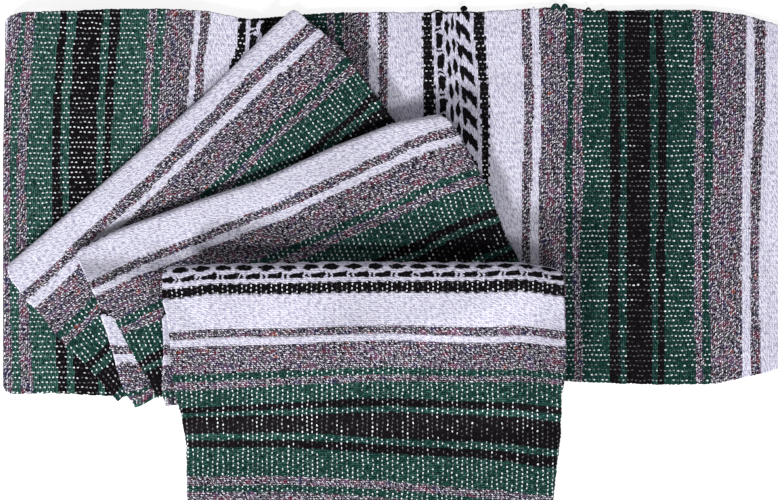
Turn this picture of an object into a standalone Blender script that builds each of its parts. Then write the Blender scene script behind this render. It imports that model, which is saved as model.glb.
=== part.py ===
"""A striped serape, folded in three across its width, then folded along its length and fanned.

The blanket lies on a flat surface. A long band lies at the back. Its left third carries a leaf
that turns back on itself, two more leaves are fanned over that, and a last one runs forward
over the pile and down to the surface. +X runs along the band, +Y points to the back, +Z is up,
and the origin is under the middle of the pile.

Every leaf is a rectangle of folded cloth with slightly uneven edges. Its stripes run along u,
from its start edge to its end edge, and v runs across them from its near fold to its far edge.
The outer cloth of a leaf is a wall that turns round its folds. The hidden layers inside it are
one solid with the edges of the plies showing at the two ends. Each leaf drapes over the leaves
below it.
"""
import math

import bmesh
import bpy
import numpy as np

MM = 0.001

# The cloth
CLOTH = 2.5 * MM           # thickness of one woven layer
GAP = 0.3 * MM             # clearance between pieces that touch
TUCK = 22 * MM             # how far a cloth turns under beyond its fold
STEP = 3 * MM              # length of the slope up to where the turned-under cloth lies
BED_CLEAR = 1.4 * MM       # extra room under a leaf where it slopes down over an edge
TUCK_CLEAR = 1.6 * MM      # extra room between the tucked-under cloth and the hidden layers
NOSE_CLEAR = 0.9 * MM      # extra room inside a fold

# The edges of the hidden layers
END_INSET = 4.5 * MM       # hidden plies lie back from the ends of the outer cloth
OPEN_INSET = 2.0 * MM      # the same where no outer cloth covers them
PLY_BULGE = 2.0 * MM       # how far each ply stands out beyond the crease between plies
PLIES = 3                  # plies that show at the ends of a leaf

# Facets
NOSE_STEPS = 4             # facets round a fold
SHARP_ANGLE = 40           # degrees between facets that are shaded as an edge

# The corners at a leaf's near fold
CORNER = 14 * MM           # radius of the corner
CORNER_CUT = 0.7           # share of that radius by which the rounded ends fall back

# One row for each leaf, from the bottom of the pile to its top, in millimetres and degrees.
# The corner is the start of the near fold, and the heading is the direction of the stripes.
# The margin says how far past the leaf's edge a leaf above stays up, and the reaches how much
# further it takes to come down past the leaf's ends and past its folds. The spread is how far
# that slope moves outward for each unit of cloth above the edge. The gap is the clearance
# under the leaves above, and the cells are the facets along and across the stripes.
LEAF_COLUMNS = ("name", "corner_x", "corner_y", "heading", "length", "depth", "height",
                "margin", "end_reach", "fold_reach", "spread", "gap", "cells_u", "cells_v")
LEAF_ROWS = (
    ("band", -426, -72, 90.0, 409, 854, 9, 4, 30, 30, 0.60, 0.3, 2, 13),
    ("left_leaf", -428, -74, 90.0, 411, 283, 8, 10, 60, 120, 0.15, 0.4, 4, 6),
    ("page_1", -427, 60, 40.75, 423, 179, 13, 10, 100, 80, 0.15, 1.0, 12, 7),
    ("under_leaf_2", -324, 19, 0.0, 413, 112, 10, 6, 90, 48, 0.50, 1.9, 12, 6),
    ("page_2", -346, 82, 20.57, 421, 182, 12, 10, 90, 66, 0.20, 2.0, 13, 11),
    ("under_leaf_3", -258, 59, 3.0, 426, 149, 8, 6, 40, 36, 0.50, 2.9, 14, 10),
    ("page_3", -255, 67, 0.0, 433, 409, 11, 0, 1, 1, 0.00, 0.0, 14, 22),
)

# How far each edge stands out beyond the plain rectangle, in millimetres: (place, distance),
# where the place is measured along v for the start and end edges and along u for the others.
EDGES = {
    ("band", "start"): ((0, 1), (60, 0), (131, 4), (324, -2), (606, -10), (707, -6),
                        (769, -7), (808, -15), (854, -28)),
    ("band", "end"): ((0, -2), (17, -1), (127, 1), (257, -8), (322, -2), (368, 0), (516, 1),
                      (603, 6), (635, 2), (754, 3), (797, -2), (824, -9), (854, -20)),
    ("left_leaf", "start"): ((0, 2), (60, 1), (131, 5), (283, -1)),
    ("left_leaf", "end"): ((0, -1), (17, 0), (127, 4), (171, 4), (225, 1), (257, -6), (283, -9)),
    ("left_leaf", "near"): ((0, 0), (260, 0), (356, -2), (411, -6)),
    ("page_1", "start"): ((0, 0), (39, 4), (60, 1), (86, 4), (137, 0), (179, 0)),
    ("page_1", "end"): ((0, 7), (8, 3), (16, 3), (39, 8), (54, 11), (75, 8), (129, 3), (179, 0)),
    ("page_1", "far"): ((0, 11), (30, 9), (90, 0), (423, 0)),
    ("under_leaf_2", "start"): ((0, 2), (21, -6), (43, -13), (69, -20), (87, -26), (102, -34),
                                (112, -42)),
    ("under_leaf_2", "far"): ((0, 0), (42, 0), (65, -14), (108, -17), (413, -24)),
    ("page_2", "start"): ((0, 5), (25, 3), (69, 0), (80, -8), (114, -14), (137, -17),
                          (182, -25)),
    ("page_2", "end"): ((0, 0), (25, 7), (63, 12), (95, 17), (147, 16), (182, 21)),
    ("page_2", "near"): ((0, -1), (45, 4), (140, 3), (210, 0), (298, 6), (366, 7), (421, -2)),
    ("under_leaf_3", "start"): ((0, -14), (24, -14), (44, 0), (78, 0), (123, 4), (140, 4),
                                (149, 0)),
    ("under_leaf_3", "near"): ((0, -7), (60, -6), (200, -12), (360, -24), (426, -44)),
    ("page_3", "start"): ((0, 0), (40, -1), (56, -6), (84, -9), (100, -9), (121, -12),
                          (139, -15), (152, -18), (171, -23), (203, -26), (408, -27)),
    ("page_3", "end"): ((0, 0), (80, 3), (118, 3), (137, -2), (177, -2), (256, -11), (408, -12)),
    ("page_3", "near"): ((0, -5), (53, -2), (192, 1), (386, 0), (433, -8)),
}

# Where a leaf needs finer facets across its stripes: name, then (from, to, number of facets),
# with the places in millimetres.
FINE_DROP = {"page_3": (112, 204, 11)}

# Colour, roughness and metallic value of each node
WHITE = (0.74, 0.72, 0.86)
GREEN = (0.013, 0.092, 0.055)
BLACK = (0.012, 0.009, 0.013)
MARLED = (0.22, 0.19, 0.24)
NODE_COLOURS = {
    "band_cloth": GREEN, "band_layers": MARLED,
    "left_leaf_cloth": MARLED, "left_leaf_layers": BLACK,
    "page_1_cloth": WHITE, "page_1_layers": MARLED,
    "under_leaf_2": MARLED,
    "page_2_cloth": WHITE, "page_2_layers": GREEN,
    "under_leaf_3": MARLED,
    "page_3_cloth": GREEN, "page_3_layers": BLACK,
}
CLOTH_ROUGHNESS = 0.92


def outstand(name, edge, place):
    """How far an edge stands out beyond the rectangle at a place along it."""
    rows = np.array(EDGES.get((name, edge), ((0, 0), (1, 0))), dtype=float) * MM
    return np.interp(place, rows[:, 0], rows[:, 1])


class Leaf:
    """One folded leaf: a rectangle in plan with uneven edges, and its height."""

    def __init__(self, row):
        values = dict(zip(LEAF_COLUMNS, row))
        self.name = values["name"]
        self.corner = np.array((values["corner_x"], values["corner_y"])) * MM
        heading = math.radians(values["heading"])
        self.along = np.array((math.cos(heading), math.sin(heading)))
        self.across = np.array((math.sin(heading), -math.cos(heading)))
        self.length = values["length"] * MM
        self.depth = values["depth"] * MM
        self.height = values["height"] * MM
        self.margin = values["margin"] * MM
        self.end_reach = values["end_reach"] * MM
        self.fold_reach = values["fold_reach"] * MM
        self.spread = values["spread"]
        self.gap = values["gap"] * MM
        self.cells_u = values["cells_u"]
        self.cells_v = values["cells_v"]

    def plan(self, share, v, inset=0.0):
        """Points in plan: a share of the way along the stripes, and v across them.

        The start and end edges follow their outlines, less the inset, and are rounded off at
        the near fold. The near fold's own outline fades away towards the far edge.
        """
        into_corner = np.clip(CORNER - v, 0, CORNER)
        rounding = (CORNER - np.sqrt(CORNER ** 2 - into_corner ** 2)) * CORNER_CUT
        first = -outstand(self.name, "start", v) + rounding + inset
        last = self.length + outstand(self.name, "end", v) - rounding - inset
        u = first + share * (last - first)
        near = outstand(self.name, "near", u)
        far = outstand(self.name, "far", u)
        w = v + (far + near) * v / self.depth - near
        return self.corner + u[..., None] * self.along + w[..., None] * self.across

    def way_down(self, point, shift):
        """How far past the leaf's outline a point is, from 0 to 1 along the slope there.

        The shift moves the slope outward.
        """
        offset = point - self.corner
        u = offset @ self.along
        v = offset @ self.across
        first = -outstand(self.name, "start", v)
        last = self.length + outstand(self.name, "end", v)
        near = -outstand(self.name, "near", u)
        far = self.depth + outstand(self.name, "far", u)
        keep = self.margin + shift
        past_end = np.maximum(np.maximum(first - u, u - last) - keep, 0) / self.end_reach
        past_fold = np.maximum(np.maximum(near - v, v - far) - keep, 0) / self.fold_reach
        return np.hypot(past_end, past_fold)


def fall(travel):
    """One on the leaf, then a smooth slope to nothing as travel goes from 0 to 1."""
    t = np.clip(travel, 0, 1)
    return 1 - t * t * t * (10 - 15 * t + 6 * t * t)


def draped(leaves_below, point, z):
    """Height of a layer that lies z above its bed, where the bed is the leaves below.

    Past the edge of each leaf below, the layer slopes down. The more cloth lies between it
    and that edge, the further out its slope is, so the layers stay parallel.
    """
    total = z + np.zeros(point.shape[:-1])
    stack = np.array(total)
    for lower in reversed(leaves_below):
        rise = lower.height + lower.gap
        slope = fall(lower.way_down(point, lower.spread * stack))
        total = total + rise * slope + BED_CLEAR * 4 * slope * (1 - slope)
        stack = stack + rise * fall(lower.way_down(point, 0.0))
    return total


def lift(leaves_below, plan, z):
    """Give points in plan their height."""
    z = np.broadcast_to(z, plan.shape[:-1])
    return np.concatenate([plan, draped(leaves_below, plan, z)[..., None]], axis=-1)


def fold_step():
    """The two places where the hidden layers step down past the tucked-under cloth."""
    return np.array((TUCK + 2 * GAP, TUCK + STEP))


def stations(leaf, far_fold):
    """Places across the stripes between the folds, shared by the cloth and its layers.

    They lie closer together where the leaf drops off the pile, and have a pair at each step
    past the tucked-under cloth.
    """
    start = leaf.height / 2
    stop = leaf.depth - (leaf.height / 2 if far_fold else 2 * END_INSET)
    if leaf.name in FINE_DROP:
        fine_from, fine_to, fine_cells = FINE_DROP[leaf.name]
        fine_from, fine_to = fine_from * MM, fine_to * MM
        coarse = leaf.cells_v - fine_cells
        before = round(coarse * (fine_from - start) / (stop - start - fine_to + fine_from))
        places = np.concatenate([
            np.linspace(start, fine_from, before + 1)[:-1],
            np.linspace(fine_from, fine_to, fine_cells + 1)[:-1],
            np.linspace(fine_to, stop, coarse - before + 1)])
    else:
        places = np.linspace(start, stop, leaf.cells_v + 1)
    steps = [fold_step()]
    if far_fold:
        steps.append(leaf.depth - fold_step()[::-1])
    for step in steps:
        clear = (places < step[0] - STEP) | (places > step[1] + STEP)
        places = np.sort(np.concatenate([places[clear], step]))
    return places


def columns(leaf, with_edges):
    """Shares along the stripes with their insets, and the cloth's own edges if wanted."""
    share = np.linspace(0, 1, leaf.cells_u + 1)
    inset = np.full(len(share), END_INSET)
    if with_edges:
        share = np.concatenate([[0.0], share, [1.0]])
        inset = np.concatenate([[0.0], inset, [0.0]])
    return share[:, None], inset[:, None]


def wall_section(leaf, inward, far_fold):
    """Section of the outer cloth across the stripes, as places v and heights z.

    It starts under the near fold, turns round it and runs over the top. With a far fold it
    turns under again there. Inward moves the whole line towards the hidden layers.
    """
    nose = leaf.height / 2
    radius = nose - inward
    angles = np.linspace(-math.pi / 2, math.pi / 2, NOSE_STEPS + 1)
    places = stations(leaf, far_fold)
    under = places[(places > nose) & (places < TUCK)]
    v = [TUCK, *under[::-1], *(nose - radius * np.cos(angles))]
    z = [inward] * (len(under) + 1) + [*(nose + radius * np.sin(angles))]
    top = list(places[1:])
    if not far_fold:
        top.append(leaf.depth)
    v += top
    z += [leaf.height - inward] * len(top)
    if far_fold:
        turn = angles[::-1][1:]
        v += [*(leaf.depth - nose + radius * np.cos(turn)), leaf.depth - TUCK]
        z += [*(nose + radius * np.sin(turn)), inward]
    return np.array(v), np.array(z)


def border(grid):
    """The edge points of a grid as one closed loop."""
    return np.concatenate([grid[:-1, 0], grid[-1, :-1], grid[:0:-1, -1], grid[0, :0:-1]])


def border_numbers(rows, columns, first):
    """Vertex numbers of the edge loop of a grid whose numbering starts at first."""
    numbers = np.arange(rows * columns).reshape(rows, columns, 1) + first
    return border(numbers).ravel()


def grid_faces(rows, columns, first, turned_back):
    """Triangles of a grid, two for each cell.

    The cells are split along one diagonal, seen in plan. Columns that are turned back lie
    under a fold, so there the other diagonal of the grid is the same one in plan.
    """
    corner = np.arange(rows * columns).reshape(rows, columns) + first
    a, b, c, d = corner[:-1, :-1], corner[1:, :-1], corner[1:, 1:], corner[:-1, 1:]
    back = np.broadcast_to(turned_back, a.shape)
    one = np.stack([a, b, np.where(back, d, c)], -1)
    two = np.stack([np.where(back, b, a), c, d], -1)
    return np.concatenate([one.reshape(-1, 3), two.reshape(-1, 3)])


def closed_body(upper, rims, lower, turned_back=False):
    """Vertices and triangles of a body with an upper and a lower grid and a rim between."""
    rows, columns = upper.shape[:2]
    count = rows * columns
    points = [upper.reshape(-1, 3), lower.reshape(-1, 3), *rims]
    faces = [grid_faces(rows, columns, 0, turned_back),
             grid_faces(rows, columns, count, turned_back)[:, ::-1]]
    loops = [border_numbers(rows, columns, 0)]
    around = len(loops[0])
    for number in range(len(rims)):
        loops.append(2 * count + number * around + np.arange(around))
    loops.append(border_numbers(rows, columns, count))
    for above, below in zip(loops[:-1], loops[1:]):
        next_above, next_below = np.roll(above, -1), np.roll(below, -1)
        faces.append(np.stack([above, below, next_below], 1))
        faces.append(np.stack([above, next_below, next_above], 1))
    return np.concatenate(points), np.concatenate(faces)


def outer_cloth(leaf, leaves_below, far_fold):
    """The wall of cloth that turns round the leaf's folds and lies over its top."""
    share, inset = columns(leaf, True)
    grids = []
    for inward in (0.0, CLOTH):
        v, z = wall_section(leaf, inward, far_fold)
        plan = leaf.plan(share, v[None, :], inset)
        grids.append(lift(leaves_below, plan, z[None, :]))
    return closed_body(grids[0], [], grids[1], np.diff(v) < 0)


def ply_profile(plies):
    """Rim of stacked plies: how far up each point is, and how far it stands out."""
    steps = 2 * plies
    up = np.arange(steps - 1, 0, -1) / steps
    out = np.where(np.arange(steps - 1) % 2 == 0, 1.0, 0.0) * PLY_BULGE
    return up, out


def hidden_layers(leaf, leaves_below, far_fold, cover):
    """The plies inside the outer cloth as one solid, their edges showing at the two ends.

    The cover is the thickness of cloth over it and under its folds. Where no cloth is tucked
    under, the solid rests on the bed.
    """
    places = stations(leaf, far_fold)
    near_out = places[0] - cover - NOSE_CLEAR
    back = END_INSET if cover else OPEN_INSET
    far_out = leaf.depth - (cover + NOSE_CLEAR if far_fold else back) - places[-1]
    bed = np.zeros(len(places))
    over_tuck = cover + TUCK_CLEAR if cover else 0.0
    bed[places < TUCK + STEP / 2] = over_tuck
    if far_fold:
        bed[places > leaf.depth - TUCK - STEP / 2] = over_tuck
    share = columns(leaf, False)[0]
    middle = leaf.plan(share, places[None, :], back)
    upper = lift(leaves_below, middle, leaf.height - cover)
    lower = lift(leaves_below, middle, bed[None, :])

    shape = middle.shape[:2]
    ring_share = border(np.broadcast_to(share, shape)[..., None]).ravel()
    ring_place = border(np.broadcast_to(places, shape)[..., None]).ravel()
    ring_bed = border(np.broadcast_to(bed, shape)[..., None]).ravel()
    at_near = ring_place == places[0]
    at_far = ring_place == places[-1]
    at_end = (ring_share == 0) | (ring_share == 1)
    rims = []
    for height_share, stand_out in zip(*ply_profile(PLIES)):
        round_out = math.sqrt(1 - (2 * height_share - 1) ** 2)
        v = ring_place + (at_far * far_out - at_near * near_out) * round_out
        ring_inset = back - at_end * stand_out
        z = ring_bed + height_share * (leaf.height - cover - ring_bed)
        rims.append(lift(leaves_below, leaf.plan(ring_share, v, ring_inset), z))
    return closed_body(upper, rims, lower)


def cloth_material(name, colour):
    """A matt cotton finish in one colour."""
    material = bpy.data.materials.new(name)
    material.use_nodes = True
    shader = material.node_tree.nodes["Principled BSDF"]
    shader.inputs["Base Color"].default_value = (*colour, 1.0)
    shader.inputs["Roughness"].default_value = CLOTH_ROUGHNESS
    shader.inputs["Metallic"].default_value = 0.0
    return material


def add_node(collection, name, body):
    """Make one named object with its own material from vertices and triangles."""
    points, faces = body
    mesh = bpy.data.meshes.new(name)
    mesh.from_pydata(points.tolist(), [], faces.tolist())
    shell = bmesh.new()
    shell.from_mesh(mesh)
    bmesh.ops.recalc_face_normals(shell, faces=shell.faces)
    shell.to_mesh(mesh)
    shell.free()
    mesh.shade_smooth()
    mesh.set_sharp_from_angle(angle=math.radians(SHARP_ANGLE))
    mesh.materials.append(cloth_material(name, NODE_COLOURS[name]))
    node = bpy.data.objects.new(name, mesh)
    collection.objects.link(node)
    return node


def build_serape():
    """Build every leaf from the bottom of the pile to its top."""
    for old in list(bpy.data.objects):
        bpy.data.objects.remove(old, do_unlink=True)
    collection = bpy.data.collections.new("serape")
    bpy.context.scene.collection.children.link(collection)
    leaves = [Leaf(row) for row in LEAF_ROWS]
    with_far_fold = ("band", "left_leaf", "page_3")
    for number, leaf in enumerate(leaves):
        below = leaves[:number]
        far_fold = leaf.name in with_far_fold
        if leaf.name.startswith("under_leaf"):
            add_node(collection, leaf.name, hidden_layers(leaf, below, False, 0.0))
            continue
        add_node(collection, leaf.name + "_cloth", outer_cloth(leaf, below, far_fold))
        inside = hidden_layers(leaf, below, far_fold, CLOTH + GAP)
        add_node(collection, leaf.name + "_layers", inside)


build_serape()
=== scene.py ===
"""A woven serape, folded in three across its width, then folded along its length and fanned.

Each outer leaf of the pile is a thin shell of cloth on the form of its solid, with the edges of
the hidden plies inside it. The two under leaves are plies alone. All of them carry one weave,
charted in the blanket's own stripe sequence. Lengths are in metres, and tables that say so are
in millimetres.
"""
import math

import bpy
import numpy as np
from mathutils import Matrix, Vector


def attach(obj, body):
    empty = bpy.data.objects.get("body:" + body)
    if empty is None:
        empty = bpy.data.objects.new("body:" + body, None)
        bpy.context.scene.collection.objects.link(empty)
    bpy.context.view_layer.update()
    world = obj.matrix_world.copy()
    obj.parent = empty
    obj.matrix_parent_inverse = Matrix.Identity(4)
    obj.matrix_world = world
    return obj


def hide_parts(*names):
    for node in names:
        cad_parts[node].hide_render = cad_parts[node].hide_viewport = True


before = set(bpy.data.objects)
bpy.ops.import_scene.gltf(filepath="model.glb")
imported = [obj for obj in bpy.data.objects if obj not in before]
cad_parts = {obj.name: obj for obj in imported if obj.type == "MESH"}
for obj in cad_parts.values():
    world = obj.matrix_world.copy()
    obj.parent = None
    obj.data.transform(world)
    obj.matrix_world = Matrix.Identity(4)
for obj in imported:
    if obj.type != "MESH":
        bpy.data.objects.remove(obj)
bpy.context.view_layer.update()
scene = bpy.context.scene

MM = 0.001
TURN = 2 * math.pi
BODY = "root"

# The cloth
CLOTH = 2.5 * MM  # thickness of one woven layer
GAP = 0.3 * MM  # clearance between pieces that touch
TUCK = 22 * MM  # how far a cloth turns under beyond its fold
STEP = 3 * MM  # length of the slope up to where the turned-under cloth lies
BED_CLEAR = 1.4 * MM  # extra room under a leaf where it slopes down over an edge
TUCK_CLEAR = 1.6 * MM  # extra room between the tucked-under cloth and the hidden plies
NOSE_CLEAR = 0.9 * MM  # extra room inside a fold
CORNER = 14 * MM  # radius of the corners at a near fold
CORNER_CUT = 0.7  # share of that radius by which the rounded ends fall back
END_INSET = 4.5 * MM  # hidden plies lie back from the ends of the outer cloth
OPEN_INSET = 2.0 * MM  # the same where no outer cloth covers them
PLY_BULGE = 2.0 * MM  # how far a ply's edge stands out beyond the crease between plies
PLY = 2.3 * MM  # thickness of one hidden ply
PLY_SLIP = 2.5 * MM  # how far the stripes of one ply may lie off those of the next
RIM_INSET = 0.7 * MM  # how far the cloth's faces end short of the middle of its edge
WEFT = 2.27 * MM  # spacing of the weft yarns, across the stripes
WARP = 5.4 * MM  # spacing of the warp yarns, along the stripes

# The ends of the stripes, where the weft turns back
TURN_LENGTH = 4.6 * MM  # length of one turn
TURN_FADE = 6 * MM  # how far in from the end the turns fade away
SLOW = 31 * MM  # pitch of the slow unevenness along a cloth's end
PLY_SLOW = 40 * MM  # the same along the edge of a ply
QUICK = 5 * MM  # pitch of the quick unevenness along both

# The grid
ACROSS = 2.0 * MM  # spacing of the rows across the stripes
ALONG = 5.0 * MM  # spacing of the columns along the stripes
END_COLUMNS = (0.0, 0.8, 1.8, 3.2, 5.5, 9.0)  # places of the first columns at an end, in MM
COVERED_COLUMNS = 25  # columns of the plies that a cloth covers
NOSE_TURNS = 12  # rows round a fold
PLY_TURNS = 6  # rows round the edge of a ply
EASE = 7 * MM  # how far the corners of an outline are smoothed out
ROUNDING_ERROR = 1e-9

# The slow unevenness of every leaf, and the slow bend of its creases
UNEVEN = 0.45 * MM
WAVE_PITCHES = (0.21, 0.15, 0.10, 0.07)
CREASE_BEND = 37 * MM  # length of the bends, over two pi

RANDOM_VALUES = 4001  # how many random values a line has, half of them before its start

# One row for each leaf, from the bottom of the pile to its top: MM and degrees.
LEAF_COLUMNS = ("name", "corner_x", "corner_y", "heading", "length", "depth", "height",
                "margin", "end_reach", "fold_reach", "spread", "gap")
LEAF_ROWS = (
    ("band", -426, -72, 90.0, 409, 854, 9, 4, 30, 30, 0.60, 0.3),
    ("left_leaf", -428, -74, 90.0, 411, 283, 8, 10, 60, 120, 0.15, 0.4),
    ("page_1", -427, 60, 40.75, 423, 179, 13, 10, 100, 80, 0.15, 1.0),
    ("under_leaf_2", -324, 19, 0.0, 413, 112, 10, 6, 90, 48, 0.50, 1.9),
    ("page_2", -346, 82, 20.57, 421, 182, 12, 10, 90, 66, 0.20, 2.0),
    ("under_leaf_3", -258, 59, 3.0, 426, 149, 8, 6, 40, 36, 0.50, 2.9),
    ("page_3", -255, 67, 0.0, 433, 409, 11, 0, 1, 1, 0.00, 0.0),
)
FAR_FOLDS = ("band", "left_leaf", "page_3")

# How far each edge stands out beyond the plain rectangle: (place, distance) in MM. At page 1's
# far corner its fold stands out up to 9 mm more than its solid's does, and its end 4 mm less.
EDGES = {
    ("band", "start"): ((0, 1), (60, 0), (131, 4), (324, -2), (606, -10), (707, -6),
                        (769, -7), (808, -15), (854, -28)),
    ("band", "end"): ((0, -2), (17, -1), (127, 1), (257, -8), (322, -2), (368, 0), (516, 1),
                      (603, 6), (635, 2), (754, 3), (797, -2), (824, -9), (854, -20)),
    ("left_leaf", "start"): ((0, 2), (60, 1), (131, 5), (283, -1)),
    ("left_leaf", "end"): ((0, -1), (17, 0), (127, 4), (171, 4), (225, 1), (257, -6), (283, -9)),
    ("left_leaf", "near"): ((0, 0), (260, 0), (356, -2), (411, -6)),
    ("page_1", "start"): ((0, 0), (39, 4), (60, 1), (86, 4), (137, 0), (179, 0)),
    ("page_1", "end"): ((0, 3), (8, 0), (16, 0), (39, 5), (54, 9), (75, 8), (129, 3), (179, 0)),
    ("page_1", "near"): ((0, 0), (280, 0), (300, 1), (340, 4), (380, 7), (423, 9)),
    ("page_1", "far"): ((0, 11), (30, 9), (90, 0), (423, 0)),
    ("under_leaf_2", "start"): ((0, 2), (21, -6), (43, -13), (69, -20), (87, -26), (102, -34),
                                (112, -42)),
    ("under_leaf_2", "far"): ((0, 0), (42, 0), (65, -14), (108, -17), (413, -24)),
    ("page_2", "start"): ((0, 5), (25, 3), (69, 0), (80, -8), (114, -14), (137, -17),
                          (182, -25)),
    ("page_2", "end"): ((0, 0), (25, 7), (63, 12), (95, 17), (147, 16), (182, 21)),
    ("page_2", "near"): ((0, -1), (45, 4), (140, 3), (210, 0), (298, 6), (366, 7), (421, -2)),
    ("under_leaf_3", "start"): ((0, -14), (24, -14), (44, 0), (78, 0), (123, 4), (140, 4),
                                (149, 0)),
    ("under_leaf_3", "near"): ((0, -7), (60, -6), (200, -12), (360, -24), (426, -44)),
    ("page_3", "start"): ((0, 0), (40, -1), (56, -6), (84, -9), (100, -9), (121, -12),
                          (139, -15), (152, -18), (171, -23), (203, -26), (408, -27)),
    ("page_3", "end"): ((0, 0), (80, 3), (118, 3), (137, -2), (177, -2), (256, -11), (408, -12)),
    ("page_3", "near"): ((0, -5), (53, -2), (192, 1), (386, 0), (433, -8)),
}

# The stripe sequence, outward from the middle of the patterned stripe to the middle of the wide
# black one, where it is mirrored: yarn and where that stripe ends, in MM.
STRIPES = (("pattern", 35.6), ("white", 69.1), ("marled", 79.9), ("white", 89.6),
           ("marled", 118.8), ("green", 126.4), ("marled", 136.1), ("green", 167.4),
           ("black", 175.5), ("green", 182.5), ("black", 196.6))
HALF_REPEAT = 196.6 * MM

# Where the sequence lies on each leaf, in MM. The first row names places in the sequence. Each
# other row starts with a place along the stripes, and says where those places lie across them
# there. Beyond the ends of a row the two run on together.
STRIPE_PLACES = {
    "band": (
        (-118.8, -89.6, -79.9, -69.1, -35.6, -25.3, 25.3, 35.6, 69.1, 79.9, 89.6, 118.8, 126.4,
         136.1, 167.4, 175.5, 182.5, 210.7, 217.7, 225.8, 257.1, 266.8, 274.4, 303.6, 313.3, 324.1),
        (28, 366, 395, 405, 415, 454, 465, 518, 524, 559, 568, 578, 607, 617, 625, 654, 665, 672,
         701, 707, 714, 748, 756, 765, 799, 807, 818),
        (141, 366, 395, 405, 415, 454, 466, 518, 524, 559, 568, 578, 607, 614, 621, 653, 664, 672,
         699, 706, 714, 746, 755, 761, 797, 807, 816),
        (228, 366, 395, 405, 415, 454, 467, 517, 524, 560, 569, 578, 607, 614, 626, 655, 665, 673,
         699, 707, 716, 747, 757, 766, 798, 807, 818),
        (315, 366, 395, 405, 415, 453, 466, 515, 524, 563, 572, 580, 609, 615, 624, 655, 665, 672,
         699, 708, 717, 748, 757, 767, 803, 813, 823),
        (390, 366, 395, 405, 415, 452, 462, 507, 519, 559, 569, 578, 607, 616, 625, 653, 663, 670,
         698, 704, 713, 745, 756, 767, 803, 811, 824),
    ),
    "left_leaf": (
        (-274.4, -266.8, -257.1, -225.8, -217.7, -210.7, -182.5, -175.5, -167.4, -136.1, -126.4,
         -118.8, -89.6, -79.9, -69.1, -35.6, -25.3, 0),
        (3, 11, 19, 32, 60, 70, 78, 103, 111, 120, 152, 162, 169, 203, 209, 220, 253, 264, 288),
        (90, 8, 16, 27, 56, 66, 74, 102, 110, 119, 151, 161, 168, 202, 208, 219, 253, 264, 288),
        (230, 7, 15, 24, 53, 63, 71, 101, 109, 116, 149, 158, 166, 199, 206, 217, 251, 262, 287),
        (316, 8, 16, 29, 54, 62, 72, 102, 110, 119, 152, 160, 168, 200, 207, 218, 253, 264, 288),
        (354, 11, 18, 29, 56, 64, 74, 104, 112, 121, 153, 162, 171, 203, 208, 216, 245, 252, 276),
        (369, 12, 18, 29, 56, 64, 74, 104, 112, 122, 154, 163, 172, 204, 210, 219, 252, 262, 285),
        (402, 15, 19, 29, 58, 65, 76, 105, 113, 124, 155, 165, 174, 207, 213, 223, 255, 263, 290),
    ),
    "page_1": (
        (35.6, 69.1, 79.9, 89.6, 118.8, 126.4, 136.1, 167.4, 175.5, 182.5),
        (30, -8, 31, 40, 51, 84, 93, 101, 128, 135, 144),
        (180, -14, 26, 38, 46, 81, 90, 98, 127, 134, 142),
        (290, -22, 18, 30, 38, 74, 82, 90, 119, 126, 134),
        (340, -21, 18, 29, 40, 73, 82, 90, 118, 125, 133),
        (380, -18, 21, 32, 41, 76, 84, 92, 122, 128, 136),
        (412, -18, 22, 33, 41, 74, 83, 92, 120, 127, 136),
    ),
    "under_leaf_2": (
        (69.1, 79.9, 89.6, 118.8, 126.4, 136.1),
        (0, 43, 51, 61, 91, 96, 102),
    ),
    "page_2": (
        (35.6, 69.1, 79.9, 89.6, 118.8),
        (20, 0, 37, 45, 54, 88),
        (120, -3, 36, 44, 52, 84),
        (200, -8, 30, 39, 48, 79),
        (280, -9, 29, 38, 47, 77),
        (350, -12, 26, 34, 43, 75),
        (400, -19, 18, 27, 36, 69),
    ),
    "under_leaf_3": (
        (69.1, 79.9, 89.6, 118.8, 126.4, 136.1),
        (0, 79, 88, 100, 130, 138, 147),
    ),
    "page_3": (
        (-4, -12, -20.5, -25.3, -35.6, -69.1, -79.9, -89.6, -118.8, -126.4, -136.1, -167.4,
         -175.5, -182.5, -210.7, -217.7, -225.8, -257.1, -266.8, -274.4),
        (17, 1, 12, 17.7, 24.2, 35.8, 71.8, 80, 88.7, 118.2, 126.8, 135.5, 154.1, 160.6, 165.6,
         183.8, 190.9, 198.9, 231.3, 240.4, 247.4),
        (51, 0.9, 10.5, 16.4, 21.2, 32.7, 70.7, 79.3, 88, 118.4, 127.1, 135.8, 154.8, 160.7,
         164.6, 184.6, 192.2, 199.8, 231.9, 241.6, 248.2),
        (138, 2.5, 11.5, 17.2, 22.1, 34.6, 71.3, 79.9, 88, 116.7, 124.2, 131.8, 151.2, 158,
         164.8, 184.7, 192.3, 200.9, 232.3, 241.5, 249),
        (246, 2, 10.8, 16.4, 21, 33.5, 68.6, 77.2, 84.2, 113.4, 122, 128.5, 146.9, 155.5, 161.5,
         192.2, 198.7, 208.4, 238.7, 246.8, 256),
        (343, 2, 10.3, 15.9, 19.7, 33.5, 70.7, 81, 87.5, 116.1, 123.6, 129.6, 151.2, 158.8,
         165.2, 195.5, 203, 212.8, 247.3, 255, 263),
        (404, -1, 7.3, 13, 16.8, 30.7, 67.7, 77.4, 85, 114.5, 122, 127.5, 152.5, 160.2, 167.8,
         199.9, 207.5, 220, 251.5, 259.9, 268),
    ),
}

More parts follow.
